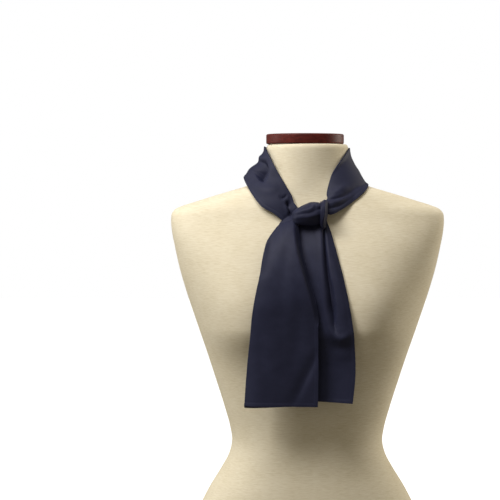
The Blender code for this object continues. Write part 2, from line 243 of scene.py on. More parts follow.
jersey, tree, shader = new_finish(
    "cream_slub_jersey", Roughness=0.88, Specular_IOR_Level=0.25, Sheen_Weight=0.10, Sheen_Roughness=0.6,
)
shader.inputs["Sheen Tint"].default_value = linear("FFF4DC")
place = add(tree, "ShaderNodeTexCoord").outputs["Object"]
dashes = add(tree, "ShaderNodeTexNoise", values={"Scale": 1.0, "Detail": 3.0, "Roughness": 0.6},
             links={"Vector": stretched(tree, place, DASH_SCALE)})
clouds = add(tree, "ShaderNodeTexNoise", values={"Scale": CLOUD_SCALE, "Detail": 3.0},
             links={"Vector": place})
blend = add(tree, "ShaderNodeMath", operation="MULTIPLY_ADD", values={1: 0.35},
            links={0: clouds.outputs["Fac"], 2: dashes.outputs["Fac"]})
tone = ramp(tree, blend.outputs[0], ((0.42, "DCD2B4"), (0.66, "E8DFC5"), (0.92, "F0E9D2")))
tree.links.new(tone.outputs["Color"], shader.inputs["Base Color"])
knit = add(tree, "ShaderNodeTexNoise", values={"Scale": KNIT_SCALE, "Detail": 1.0},
           links={"Vector": place})
relief = add(tree, "ShaderNodeMath", operation="MULTIPLY_ADD", values={1: 0.5},
             links={0: knit.outputs["Fac"], 2: dashes.outputs["Fac"]})
bump = add(tree, "ShaderNodeBump", values={"Strength": 0.5, "Distance": JERSEY_RELIEF},
           links={"Height": relief.outputs[0]})
tree.links.new(bump.outputs[0], shader.inputs["Normal"])
print(jersey.name, "has", len(tree.nodes), "nodes")

# %% [markdown]
# ## Lacquered mahogany
# The cap is turned from red mahogany and finished in lacquer that is rubbed down to a satin. The
# wood is a deep red brown with long dark pores, and the thin clear coat on top gives it faint
# broad lights. The pores are noise stretched along the grain, wider than real ones so that they
# show. An image of wood would look closer, but it would tie the material to a file.

# %% Material: lacquered mahogany
PORE_SCALE = (28.0, 420.0, 420.0)    # pores about every 27 mm along the grain, 1.5 mm across it

mahogany, tree, shader = new_finish(
    "lacquered_mahogany", Roughness=0.5, Specular_IOR_Level=0.18, Coat_Weight=0.05, Coat_Roughness=0.3,
)
place = add(tree, "ShaderNodeTexCoord").outputs["Object"]
pores = add(tree, "ShaderNodeTexNoise", values={"Scale": 1.0, "Detail": 4.0, "Roughness": 0.65},
            links={"Vector": stretched(tree, place, PORE_SCALE)})
tone = ramp(tree, pores.outputs["Fac"], ((0.30, "3E120F"), (0.52, "5C211C"), (0.75, "6E2B24")))
tree.links.new(tone.outputs["Color"], shader.inputs["Base Color"])
print(mahogany.name, "has", len(tree.nodes), "nodes")

# %% [markdown]
# ## Curves through tables
# Most shapes below are short tables of sections, in millimetres. A cubic through the rows gives as
# many sections as a smooth surface needs. A spline object would do the same, but a formula on
# whole arrays can carry any number of columns at once, such as places, widths and depths.

# %% Curves through rows
MM = 0.001


def curve(knots, values, places):
    """A cubic through all the values: slopes are the rise over the run between neighbours."""
    knots, values = np.asarray(knots, float), np.asarray(values, float)
    slopes = np.gradient(values, knots, axis=0)
    span = np.clip(np.searchsorted(knots, places, side="right") - 1, 0, len(knots) - 2)
    column = (slice(None),) + (None,) * (values.ndim - 1)
    length = (knots[span + 1] - knots[span])[column]
    t = (places - knots[span])[column] / length
    return (
        (2 * t**3 - 3 * t**2 + 1) * values[span] + (t**3 - 2 * t**2 + t) * length * slopes[span]
        + (3 * t**2 - 2 * t**3) * values[span + 1] + (t**3 - t**2) * length * slopes[span + 1]
    )


def through_rows(rows, count):
    """Evenly spaced rows on a curve through a table's rows, by the distance between them."""
    rows = np.asarray(rows, float)
    knots = np.concatenate(([0.0], np.cumsum(np.linalg.norm(np.diff(rows, axis=0), axis=1))))
    return curve(knots, rows, np.linspace(0.0, knots[-1], count))


print("a curve through 0, 1, 0 at its quarter:", curve([0, 1, 2], [0.0, 1.0, 0.0], np.array([0.5])))

# %% Normals, softening and fading
def normals(grid):
    """Unit normals of a grid: the step down the rows crossed with the step across them."""
    out = np.cross(np.gradient(grid, axis=0), np.gradient(grid, axis=1))
    return out / np.linalg.norm(out, axis=2, keepdims=True)


def softened(grid, passes):
    """The grid with each inner point moved to the mean of itself and its four neighbours."""
    made = grid.copy()
    for _ in range(passes):
        made[1:-1, 1:-1] = (
            made[1:-1, 1:-1] + made[:-2, 1:-1] + made[2:, 1:-1] + made[1:-1, :-2] + made[1:-1, 2:]
        ) / 5.0
    return made


def fade(value, start, end):
    """0 before start, 1 after end, and an even S-curve between them."""
    t = np.clip((value - start) / (end - start), 0.0, 1.0)
    return t * t * (3.0 - 2.0 * t)


print("a fade from 0 to 4 mm, at 1 mm:", round(float(fade(1.0, 0.0, 4.0)), 3))

# %% [markdown]
# ## Creases
# Silk creases are long, soft troughs and ridges that start at the knot and die out. Each is given
# as a line of points with its own width and height, and adds a bell across that line.
# Sculpting or a cloth simulation could make them too, but a line in a table puts each one exactly
# where the cloth really breaks.

# %% Creases along listed lines
LINE_POINTS = 28      # points that a crease's line is drawn with


def crease(x, z, path, power=2.0):
    """A ridge along a line of rows (x, z, width on its first side, width on its second, height).

    The distance to the nearest piece of the line gives exp(-(distance / width) ** power). The
    first side is the left one of a line that runs down, or the lower one of a line that runs
    to the right.
    """
    line = through_rows(path, LINE_POINTS)
    start, step = line[:-1, :2], np.diff(line[:, :2], axis=0)
    away = np.stack((x, z), axis=-1)[..., None, :] - start
    t = np.clip((away * step).sum(-1) / (step**2).sum(-1), 0.0, 1.0)
    gap = away - t[..., None] * step
    distance = np.linalg.norm(gap, axis=-1)
    nearest = distance.argmin(axis=-1)[..., None]

    def pick(values):
        """The value at the nearest piece of the line."""
        return np.take_along_axis(values, nearest, axis=-1)[..., 0]

    along = (line[:-1, 2:] + t[..., None] * np.diff(line[:, 2:], axis=0))
    first, second, height = (pick(along[..., at]) for at in range(3))
    side = pick(step[:, 0] * gap[..., 1] - step[:, 1] * gap[..., 0])
    width = np.where(side < 0.0, first, second)
    return height * np.exp(-((pick(distance) / width) ** power))


trial = crease(np.array([0.0, 3.0]), np.array([5.0, 5.0]), ((0, 10, 3, 3, 1), (0, 0, 3, 3, 1)))
print("a 1 mm ridge on its line and one width beside it:", trial.round(3))

# %% [markdown]
# ## From grids to meshes
# A grid of points becomes a mesh of squares. Solid bodies are closed by a flat face at each end.
# Cloth gets two skins, half its thickness to either side of the grid, joined all round the rim,
# so that it is a thin closed shell with real edges. A Solidify modifier could do that for an even
# thickness, but this one changes at every hem.

# %% Meshes from grids
SHARP_ANGLE = math.radians(50.0)


def make_piece(name, points, faces, finish, cloth=None):
    """A smooth-shaded object from points in millimetres; cloth is each point's place on the cloth."""
    mesh = bpy.data.meshes.new(name)
    mesh.from_pydata((points * MM).tolist(), [], faces)
    mesh.update()
    mesh.shade_smooth()
    mesh.set_sharp_from_angle(angle=SHARP_ANGLE)
    if cloth is not None:
        corner = np.empty(len(mesh.loops), int)
        mesh.loops.foreach_get("vertex_index", corner)
        mesh.uv_layers.new(name="cloth").data.foreach_set("uv", (cloth * MM)[corner].ravel())
    mesh.materials.append(finish)
    made = bpy.data.objects.new(name, mesh)
    scene.collection.objects.link(made)
    return made


def tube(name, rings, finish):
    """Closed rings of points, one above the other, with a flat face at each end."""
    count, sides = rings.shape[:2]
    index = np.arange(count * sides).reshape(count, sides)
    beside = np.roll(index, -1, axis=1)
    quads = np.stack((index[:-1], beside[:-1], beside[1:], index[1:]), axis=-1).reshape(-1, 4)
    ends = [index[0, ::-1].tolist(), index[-1].tolist()]
    return make_piece(name, rings.reshape(-1, 3), quads.tolist() + ends, finish)


print("edges of more than", round(math.degrees(SHARP_ANGLE)), "degrees stay sharp")

# %% Cloth with two skins
def shell(name, ply, thickness, finish):
    """Cloth: the ply's grid carried half a thickness to both sides, joined round the rim."""
    count, across = ply.shape[:2]
    half = normals(ply) * (0.5 * thickness)
    index = np.arange(count * across).reshape(count, across)
    back = np.stack((index[:-1, :-1], index[:-1, 1:], index[1:, 1:], index[1:, :-1]), axis=-1)
    back = back.reshape(-1, 4)
    rim = np.concatenate((index[0], index[1:, -1], index[-1, -2::-1], index[-2:0:-1, 0]))
    skip, there = count * across, np.roll(rim, -1)
    strip = np.stack((there, rim, rim + skip, there + skip), axis=-1)
    faces = np.concatenate((back, back[:, ::-1] + skip, strip))
    steps_across = np.linalg.norm(np.diff(ply, axis=1), axis=2).mean(axis=0)
    steps_along = np.linalg.norm(np.diff(ply, axis=0), axis=2).mean(axis=1)
    u = np.concatenate(([0.0], np.cumsum(steps_across)))[None, :] + np.zeros((count, 1))
    v = np.concatenate(([0.0], np.cumsum(steps_along)))[:, None] + np.zeros((1, across))
    cloth = np.tile(np.stack((u, v), axis=-1).reshape(-1, 2), (2, 1))
    points = np.concatenate(((ply - half).reshape(-1, 3), (ply + half).reshape(-1, 3)))
    made = make_piece(name, points, faces.tolist(), finish, cloth)
    print(f"{name}: {u.max():.0f} x {v.max():.0f} mm of cloth, {2 * len(faces)} triangles")
    return made


# %% [markdown]
# ## The dress form
# The form is a padded torso under stretched jersey, one smooth body without a seam in front. Its
# level sections are rounded boxes, given by half-width, depth in front and behind and a
# squareness, and two bells add the bust. A sculpted mesh could follow it as well, but the same
# formula as the solid's keeps the two together to a hair.

# %% The form's sections
FORM_ROWS = (
    # height, half-width, front, back, squareness
    (0.0, 184.5, 99.0, 112.0, 2.2),
    (53.0, 185.2, 105.0, 122.0, 2.2),
    (90.0, 183.4, 107.0, 126.0, 2.2),
    (127.0, 180.0, 108.0, 126.0, 2.2),
    (168.0, 175.0, 106.0, 121.0, 2.2),
    (204.0, 166.5, 102.0, 113.0, 2.2),
    (240.0, 151.5, 96.0, 101.0, 2.2),
    (270.0, 136.0, 91.0, 91.0, 2.15),
    (296.0, 120.0, 86.5, 84.0, 2.1),
    (315.0, 110.0, 84.0, 80.0, 2.1),
    (333.0, 105.9, 82.5, 78.0, 2.1),
    (353.0, 108.6, 82.5, 79.0, 2.1),
    (380.0, 116.0, 84.0, 83.0, 2.15),
    (420.0, 128.6, 88.0, 90.0, 2.2),
    (460.0, 141.6, 92.5, 96.0, 2.25),
    (500.0, 155.2, 97.0, 100.0, 2.3),
    (540.0, 168.6, 99.0, 101.0, 2.45),
    (575.0, 178.9, 95.0, 99.0, 2.65),
    (605.0, 185.6, 87.0, 94.0, 2.85),
    (628.0, 190.0, 77.0, 88.0, 2.95),
    (645.0, 191.2, 68.5, 82.0, 2.95),
    (653.0, 190.2, 65.0, 78.5, 2.9),
    (659.0, 185.0, 62.5, 75.5, 2.8),
    (664.0, 173.5, 60.5, 72.5, 2.65),
    (670.0, 154.5, 58.5, 69.5, 2.5),
    (678.0, 129.0, 56.5, 65.5, 2.4),
    (685.0, 105.5, 55.5, 62.0, 2.3),
    (692.0, 84.0, 55.0, 59.5, 2.15),
    (700.0, 70.5, 54.8, 57.8, 2.05),
    (711.0, 63.0, 54.8, 56.5, 2.0),
    (725.0, 58.8, 55.3, 56.0, 2.0),
    (738.0, 57.4, 55.8, 56.2, 2.0),
    (745.5, 57.0, 55.8, 56.4, 2.0),
    (748.6, 55.6, 54.6, 55.2, 2.0),
    (749.5, 53.0, 52.0, 52.6, 2.0),
)
print("form:", len(FORM_ROWS), "sections")

# %% The form's surface
FORM_RINGS = 300
FORM_SIDES = 160
BUST_APART, BUST_HEIGHT, BUST_DEPTH = 98.0, 497.0, 28.0  # from the middle, height, how far out
BUST_WIDE, BUST_ABOVE, BUST_BELOW = 46.0, 62.0, 28.0     # spread sideways, upwards, downwards
HUNG_FROM = 655.0     # height of the knot's middle, from which both tails fall
FALL_STEPS = 90       # heights looked at between a place and the knot
FALL_SOFT = 6         # passes that even out the line of fall

form_rows = through_rows(FORM_ROWS, FORM_RINGS)


def bust(x, z):
    """How far the bust stands out of the chest: one bell for each side."""
    spread = np.where(z > BUST_HEIGHT, BUST_ABOVE, BUST_BELOW)
    rise = np.exp(-0.5 * ((z - BUST_HEIGHT) / spread) ** 2)
    left = np.exp(-0.5 * ((x + BUST_APART) / BUST_WIDE) ** 2)
    right = np.exp(-0.5 * ((x - BUST_APART) / BUST_WIDE) ** 2)
    return BUST_DEPTH * rise * (left + right)


def chest_y(x, z):
    """Depth of the form's front surface at a place across and a height."""
    half, front, square = (np.interp(z, form_rows[:, 0], form_rows[:, at]) for at in (1, 2, 4))
    inward = 1.0 - np.clip(np.abs(x) / half, 0.0, 0.999) ** square
    return -front * inward ** (1.0 / square) - bust(x, z)


def fall_y(x, z):
    """Depth at which cloth from the neck hangs: the foremost point of the chest above it."""
    above = np.linspace(0.0, 1.0, FALL_STEPS)[:, None, None]
    foremost = chest_y(x, z + (np.maximum(z, HUNG_FROM) - z) * above).min(axis=0)
    return softened(foremost, FALL_SOFT)


print("the chest behind the knot is", round(float(-chest_y(0.0, HUNG_FROM)), 1), "mm from the middle plane")

# %% The form as one mesh
height, half, front, back, square = (form_rows[:, at:at + 1] for at in range(5))
turn = np.linspace(0.0, 2.0 * math.pi, FORM_SIDES, endpoint=False)[None, :]
side, ahead = np.sin(turn), np.cos(turn)
form_x = half * np.sign(side) * np.abs(side) ** (2.0 / square)
form_y = np.where(ahead > 0.0, -front, back) * np.abs(ahead) ** (2.0 / square)
# the bells belong to the front only, and die towards the flanks
form_y = form_y - bust(form_x, height) * np.sqrt(np.clip(ahead, 0.0, 1.0))
form = tube("form_jersey", np.stack((form_x, form_y, height + 0.0 * form_x), axis=-1), jersey)
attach(form, "root")
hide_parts("dress_form")
print("form:", len(form.data.polygons), "faces")

# %% [markdown]
# ## The neck cap
# A turned disc. On the lathe it is one profile swept round its axis, and that is how it is made
# here: two rims rounded by a cutter, with a flat top and a straight side between them. A cylinder
# with a Bevel would look much the same, but the profile repeats the solid's own rounding.

# %% The cap
CAP_RADIUS, CAP_LOW, CAP_HIGH, CAP_ROUND, CAP_SHIFT = 54.5, 749.8, 763.8, 2.2, -3.3
CAP_SIDES = 144
arc = np.radians(np.linspace(0.0, 90.0, 9))
inset, climb = CAP_ROUND * (1.0 - np.sin(arc)), CAP_ROUND * (1.0 - np.cos(arc))
cap_radius = np.concatenate((CAP_RADIUS - inset, CAP_RADIUS - inset[::-1]))[:, None]
cap_height = np.concatenate((CAP_LOW + climb, CAP_HIGH - climb[::-1]))[:, None]
turn = np.linspace(0.0, 2.0 * math.pi, CAP_SIDES, endpoint=False)[None, :]
cap = tube("cap_mahogany", np.stack((
    CAP_SHIFT + cap_radius * np.sin(turn), -cap_radius * np.cos(turn), cap_height + 0.0 * turn,
), axis=-1), mahogany)
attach(cap, "root")
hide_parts("neck_cap")
print("cap:", len(cap.data.polygons), "faces")

# %% [markdown]
# ## A tail of the scarf
# Each tail is two layers of silk, joined by the lengthwise fold on the left and open on the
# right. It hangs from the knot over the chest and then straight down from the foremost point it
# has passed. A table gives both long edges and how far the cloth stands off that line of fall at
# seven places across. A ledge lowers all that lies past a line: on the front tail the free edge
# that rolls under as it leaves the knot, on the rear tail the lip of its pleat. Creases are
# added along the surface, the grid is doubled round the fold, and the ply gets its thickness and
# its narrow hems last. A simulated drape would hang well, but it would not roll under just here.

# %% A tail's surface and its two layers
PLY = 0.5
LAYER = 0.9           # from the middle of a tail to the middle of each of its layers
TAIL_CLEAR = 1.8      # the least distance from the form to the middle of a tail
STATIONS = np.array((0.0, 0.12, 0.3, 0.5, 0.7, 0.86, 1.0))
TAIL_ROWS, TAIL_ACROSS, FOLD_POINTS = 210, 91, 7


def tail_middle(rows, creases, ledge):
    """The grid half-way between both layers of a tail, with its creases laid on.

    A ledge is a line of rows (z, x, half-width, drop): past it the cloth lies lower by the drop.
    """
    table = through_rows(rows, TAIL_ROWS)
    across = np.linspace(0.0, 1.0, TAIL_ACROSS)
    left_z, left_x, right_z, right_x = (table[:, at:at + 1] for at in range(4))
    x = left_x + (right_x - left_x) * across
    z = left_z + (right_z - left_z) * across
    off = curve(STATIONS, table[:, 4:].T, across).T
    edge = np.array(ledge)[::-1].T
    at, wide, drop = (np.interp(z, edge[0], column) for column in edge[1:])
    off = off - drop * fade(x, at - wide, at + wide)
    for power, path in creases:
        off = off + crease(x, z, path, power)
    y = np.minimum(fall_y(x, z) - off, chest_y(x, z) - TAIL_CLEAR)
    return np.stack((x, y, z), axis=2)


def folded(middle, distance):
    """One ply round the fold: the front layer leftwards, a half circle, the back layer back."""
    out = normals(middle)
    edge, leftward = middle[:, :1], middle[:, :1] - middle[:, 1:2]
    leftward = leftward / np.linalg.norm(leftward, axis=2, keepdims=True)
    bend = np.linspace(0.0, math.pi, FOLD_POINTS + 2)[None, 1:-1, None]
    fold = edge + distance * (np.cos(bend) * out[:, :1] + np.sin(bend) * leftward)
    return np.concatenate(((middle + distance * out)[:, ::-1], fold, middle - distance * out), axis=1)


print("a tail is", TAIL_ROWS, "rows of", 2 * TAIL_ACROSS + FOLD_POINTS, "points")

# %% Hems
HEM = 5.0             # width of the turned hem
HEM_EDGE = 0.8        # width over which the hem's thickness ends
HEM_RISE = 0.28       # how much thicker the hem is on each side
STITCH_AT, STITCH_WIDE, STITCH_DEEP = 0.3, 0.6, 0.30  # groove: past the hem, half-width, depth


def hem_thickness(ply, ends):
    """The ply's thickness: more inside the hems, with a stitched groove at their inner edge.

    ends tells which rims are hemmed: the last row, the first column, the last column.
    """
    count, wide = ply.shape[:2]
    down = np.linalg.norm(np.diff(ply, axis=0), axis=2).mean(axis=1)
    over = np.linalg.norm(np.diff(ply, axis=1), axis=2)
    from_end = np.concatenate((np.cumsum(down[::-1])[::-1], [0.0]))[:, None] + np.zeros((1, wide))
    run = np.concatenate((np.zeros((count, 1)), np.cumsum(over, axis=1)), axis=1)
    inside = np.min([
        distance for distance, used in zip((from_end, run, run[:, -1:] - run), ends) if used
    ], axis=0)
    rise = HEM_RISE * (1.0 - fade(inside, HEM - HEM_EDGE, HEM))
    groove = STITCH_DEEP * np.exp(-(((inside - HEM - STITCH_AT) / STITCH_WIDE) ** 2))
    return (PLY + 2.0 * rise - groove)[:, :, None]


print("a ply is", PLY, "mm thick and a hem", round(PLY + 2.0 * HEM_RISE, 2), "mm")

# %% The front tail's sections
FRONT_TAIL = (
    # left z, left x, right z, right x, then the seven distances off the line of fall
    (641.6, -36.6, 655.5, -14.5, 1.6, 2.2, 2.8, 3.2, 3.4, 3.2, 2.6),
    (630.5, -46.5, 634.0, -14.6, 3.4, 6.4, 9.8, 12.5, 13.7, 13.9, 13.5),
    (615.0, -57.0, 615.0, -12.6, 7.8, 9.8, 12.0, 15.0, 16.9, 17.4, 17.2),
    (597.0, -61.8, 597.0, -9.6, 7.4, 9.8, 11.9, 15.3, 18.0, 19.0, 18.9),
    (570.0, -66.5, 570.0, -2.4, 5.2, 8.4, 10.9, 14.4, 18.0, 20.0, 20.0),
    (540.0, -73.0, 540.0, 6.6, 2.0, 5.8, 9.8, 13.2, 16.6, 18.8, 19.0),
    (513.0, -77.2, 513.0, 10.8, 1.4, 5.4, 9.4, 12.3, 14.7, 16.0, 16.0),
    (490.0, -79.2, 490.0, 11.2, 1.0, 5.2, 9.6, 12.4, 14.0, 14.6, 14.2),
    (455.0, -82.8, 455.0, 11.5, 1.0, 5.4, 10.0, 12.8, 14.4, 14.8, 14.2),
    (423.0, -85.4, 423.0, 11.4, 2.0, 6.4, 10.6, 13.4, 14.8, 15.2, 14.8),
    (394.6, -87.2, 393.4, 10.8, 3.4, 7.4, 11.2, 13.6, 14.8, 15.2, 14.8),
)
FRONT_LEDGE = (
    # where the free edge is rolled under: height, place across, half-width, drop
    (656.0, -19.0, 3.0, 0.0),
    (640.0, -18.4, 4.0, 3.8),
    (630.0, -17.8, 4.2, 9.0),
    (615.0, -16.4, 4.2, 12.2),
    (600.0, -14.2, 4.2, 13.6),
    (584.0, -10.2, 4.2, 14.4),
    (561.5, -4.0, 4.2, 14.4),
    (539.0, 3.0, 4.0, 11.6),
    (520.0, 8.0, 3.8, 7.4),
    (502.0, 10.0, 2.6, 0.0),
)
FRONT_CREASES = (
    # power, then rows of x, z, first width, second width, height
    # the break near the free edge, with a soft rise to the right of it
    (2.0, ((9.0, 474.0, 5.0, 4.0, 0.0), (5.3, 455.0, 8.0, 4.4, -1.7), (-3.7, 436.0, 9.0, 5.0, -2.5),
           (-14.0, 414.0, 9.0, 5.4, -1.9), (-24.0, 397.0, 8.0, 6.0, -0.8))),
    # the turned-in shoulder under the notch
    (2.0, ((-41.0, 636.0, 4.0, 4.0, 0.0), (-46.0, 628.0, 5.0, 6.0, -2.4), (-52.0, 612.0, 6.0, 7.0, -3.0),
           (-56.0, 592.0, 6.0, 7.0, -2.0), (-61.0, 565.0, 5.0, 7.0, 0.0))),
    # long slack folds down the tail
    (2.0, ((-24.0, 628.0, 6.0, 6.0, 0.0), (-33.0, 590.0, 9.0, 8.0, -1.0), (-38.0, 540.0, 12.0, 10.0, -1.2),
           (-40.0, 480.0, 14.0, 12.0, 0.0))),
    (2.0, ((-14.0, 540.0, 10.0, 9.0, 0.0), (-17.0, 500.0, 12.0, 10.0, -1.3), (-20.0, 455.0, 12.0, 10.0, -0.8),
           (-26.0, 420.0, 12.0, 10.0, 0.0))),
    (2.0, ((-64.0, 520.0, 7.0, 9.0, 0.0), (-66.0, 480.0, 7.0, 10.0, -1.0), (-62.0, 440.0, 8.0, 10.0, -1.0),
           (-56.0, 405.0, 8.0, 9.0, -0.4))),
)
print("front tail:", len(FRONT_TAIL), "sections,", len(FRONT_CREASES), "creases")

# %% The rear tail's sections
REAR_TAIL = (
    # columns as on the front tail
    (652.0, -12.0, 652.0, 22.0, 2.0, 3.0, 4.0, 5.0, 6.0, 5.0, 3.0),
    (640.0, -12.5, 640.0, 25.0, 2.2, 2.4, 3.4, 5.0, 6.6, 6.4, 4.6),
    (629.0, -13.5, 629.0, 28.8, 2.2, 2.2, 3.8, 6.2, 8.2, 7.8, 4.6),
    (609.0, -15.0, 609.0, 34.2, 2.2, 2.0, 4.4, 7.2, 9.0, 8.4, 4.0),
    (588.0, -17.0, 588.0, 39.5, 2.2, 1.9, 3.4, 7.2, 9.2, 8.6, 3.8),
    (569.0, -20.0, 569.0, 44.5, 2.2, 1.9, 2.8, 7.0, 9.4, 8.8, 3.6),
    (548.0, -24.0, 548.0, 49.2, 2.2, 1.9, 2.5, 6.4, 9.4, 9.0, 3.8),
    (527.0, -27.0, 527.0, 53.4, 2.2, 1.9, 2.8, 6.6, 9.6, 9.4, 4.2),
    (505.0, -29.5, 505.0, 57.0, 2.0, 1.6, 3.4, 7.6, 10.0, 10.4, 4.8),
    (490.0, -31.0, 490.0, 58.9, 1.2, 1.2, 3.4, 8.0, 10.4, 11.0, 5.2),
    (470.0, -32.5, 470.0, 60.8, -0.5, 0.0, 0.6, 2.4, 4.0, 5.0, 2.6),
    (455.0, -33.5, 455.0, 61.6, -1.5, -1.2, -0.6, 0.2, 1.0, 1.6, 1.2),
    (433.0, -35.0, 433.0, 61.4, -2.0, -1.6, -1.2, -0.6, 0.2, 0.8, 1.2),
    (401.6, -37.4, 397.4, 57.9, -1.0, -0.5, 0.2, 1.0, 1.8, 2.4, 2.6),
)
REAR_LEDGE = (
    # the lip of the pleat, past which the cloth lies lower
    (656.0, 19.0, 1.5, 0.0),
    (630.0, 20.0, 1.6, 1.4),
    (590.0, 22.4, 2.4, 2.0),
    (545.0, 28.4, 3.4, 2.2),
    (510.0, 32.0, 3.0, 0.8),
    (498.0, 33.0, 3.0, 0.0),
)
REAR_CREASES = (
    # the deep pleat that runs down from the knot and opens into a wedge
    (1.8, ((19.4, 655.0, 1.6, 1.6, -3.0), (19.9, 638.0, 1.8, 1.8, -5.5), (21.2, 606.0, 2.4, 2.0, -7.5),
           (25.0, 572.0, 3.6, 2.2, -9.0), (29.4, 548.0, 5.0, 2.4, -9.5), (32.2, 525.0, 5.6, 2.4, -9.0),
           (33.2, 511.0, 4.6, 2.4, -5.2), (34.0, 498.0, 4.2, 3.0, -2.0), (36.0, 484.0, 4.0, 3.4, 0.0))),
    # its left lip, and the swoop where the pleat opens out
    (2.0, ((15.0, 640.0, 3.0, 3.0, 0.4), (16.5, 590.0, 3.6, 3.0, 1.2), (19.5, 545.0, 4.0, 3.4, 1.4),
           (23.0, 515.0, 4.5, 4.0, 1.4), (31.0, 493.0, 4.5, 5.0, 2.2), (41.0, 485.0, 4.5, 5.0, 2.6),
           (50.0, 489.0, 4.5, 5.0, 1.4), (56.0, 498.0, 4.0, 4.0, 0.0))),
    # the slack under the swoop
    (2.0, ((14.0, 500.0, 5.0, 4.0, 0.0), (24.0, 484.0, 8.0, 5.0, -1.6), (36.0, 474.0, 9.0, 5.0, -2.0),
           (50.0, 474.0, 8.0, 5.0, -1.2), (60.0, 482.0, 5.0, 4.0, 0.0))),
    (2.0, ((40.0, 640.0, 4.0, 4.0, 0.0), (34.0, 600.0, 5.0, 4.0, 0.8), (44.0, 545.0, 6.0, 5.0, 1.0),
           (50.0, 510.0, 6.0, 5.0, 0.0))),
)
print("rear tail:", len(REAR_TAIL), "sections,", len(REAR_CREASES), "creases")

# %% Both tails
END_FROM = 0.75       # share of a tail's length past which its back layer shows below the front


def hang_lower(ply, drop, back, reach):
    """The back layer's end moved down and back, most beside the fold and not at all past reach."""
    made = ply.copy()
    wide = ply.shape[1]
    place = np.arange(wide) - (TAIL_ACROSS + FOLD_POINTS // 2)
    share = np.clip(1.0 - place / (TAIL_ACROSS * reach), 0.0, 1.0) * fade(place, -2.0, 3.0)
    down = fade(np.arange(len(ply)) / (len(ply) - 1.0), END_FROM, 1.0)
    made[:, :, 2] -= drop * down[:, None] * share[None, :]
    made[:, :, 1] += back * down[:, None] * share[None, :]
    return made


front_middle = tail_middle(FRONT_TAIL, FRONT_CREASES, FRONT_LEDGE)
rear_middle = tail_middle(REAR_TAIL, REAR_CREASES, REAR_LEDGE)
front_ply = hang_lower(folded(front_middle, LAYER), drop=3.4, back=5.0, reach=0.62)
front_tail = shell("silk_front_tail", front_ply, hem_thickness(front_ply, (True, True, True)), silk)
rear_ply = folded(rear_middle, LAYER)
rear_tail = shell("silk_rear_tail", rear_ply, hem_thickness(rear_ply, (True, True, True)), silk)
for piece, node in ((front_tail, "scarf_front_tail"), (rear_tail, "scarf_rear_tail")):
    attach(piece, "root")
    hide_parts(node)
print("the front tail's crown is", round(float(-front_middle[:, :, 1].min()), 1), "mm from the middle plane")

# %% [markdown]
# ## The neck band
# The stretch round the neck is the same folded silk, pulled narrow where it meets the knot and
# spread where it lies over the shoulders. Its folded edge is against the neck and its open,
# hemmed edges lie outside. The table gives both edges and how far the middle bows out. It is
# then seated on the form by a Shrinkwrap that only pushes outwards, as real cloth rests on what
# is under it and spans the hollows. On the left its upper edge is turned out and swollen over a
# deep hollow, and beside the knot it is pinched into short folds. Its left end laps over the top
# of the front tail, since the two are one stretch of cloth that bends there.

# %% The band's sections
BAND_ROWS = (
    # inner x, y, z, outer x, y, z, bow
    (-14.5, -67.0, 658.5, -36.3, -72.5, 643.1, 1.5),
    (-20.5, -63.5, 667.0, -48.5, -70.5, 653.0, 3.0),
    (-24.0, -59.5, 677.0, -63.5, -65.0, 661.5, 5.0),
    (-29.5, -56.0, 687.0, -75.5, -52.0, 676.5, 6.0),
    (-38.0, -50.0, 702.0, -83.5, -34.0, 690.0, 5.0),
    (-47.0, -42.0, 719.0, -87.8, -10.0, 701.0, 6.0),
    (-55.0, -27.0, 736.0, -85.5, 12.0, 702.0, 0.0),
    (-59.0, -5.0, 745.0, -69.5, 36.0, 695.0, -2.0),
    (-54.0, 27.0, 744.5, -50.0, 58.5, 687.0, 4.0),
    (-31.0, 50.5, 742.0, -28.0, 70.0, 682.0, 4.0),
    (0.0, 59.5, 740.5, 0.0, 74.0, 680.0, 3.0),
    (31.0, 50.5, 741.5, 28.0, 71.0, 681.0, 3.0),
    (53.0, 27.0, 743.0, 50.0, 59.0, 684.5, 4.0),
    (57.5, -2.0, 743.5, 66.5, 37.0, 690.0, -0.5),
    (53.0, -18.0, 739.0, 78.0, 6.0, 694.0, 1.5),
    (43.0, -35.5, 725.0, 82.5, -20.0, 688.5, 3.0),
    (33.5, -47.0, 708.5, 77.0, -40.0, 679.5, 4.0),
    (27.8, -54.5, 691.0, 60.5, -57.0, 668.5, 5.0),
    (25.0, -61.5, 678.0, 43.0, -70.0, 657.5, 5.0),
    (24.5, -67.5, 671.0, 29.5, -78.0, 651.5, 3.0),
    (15.5, -64.5, 664.5, 20.5, -68.5, 656.0, 1.0),
)
print("band:", len(BAND_ROWS), "sections")

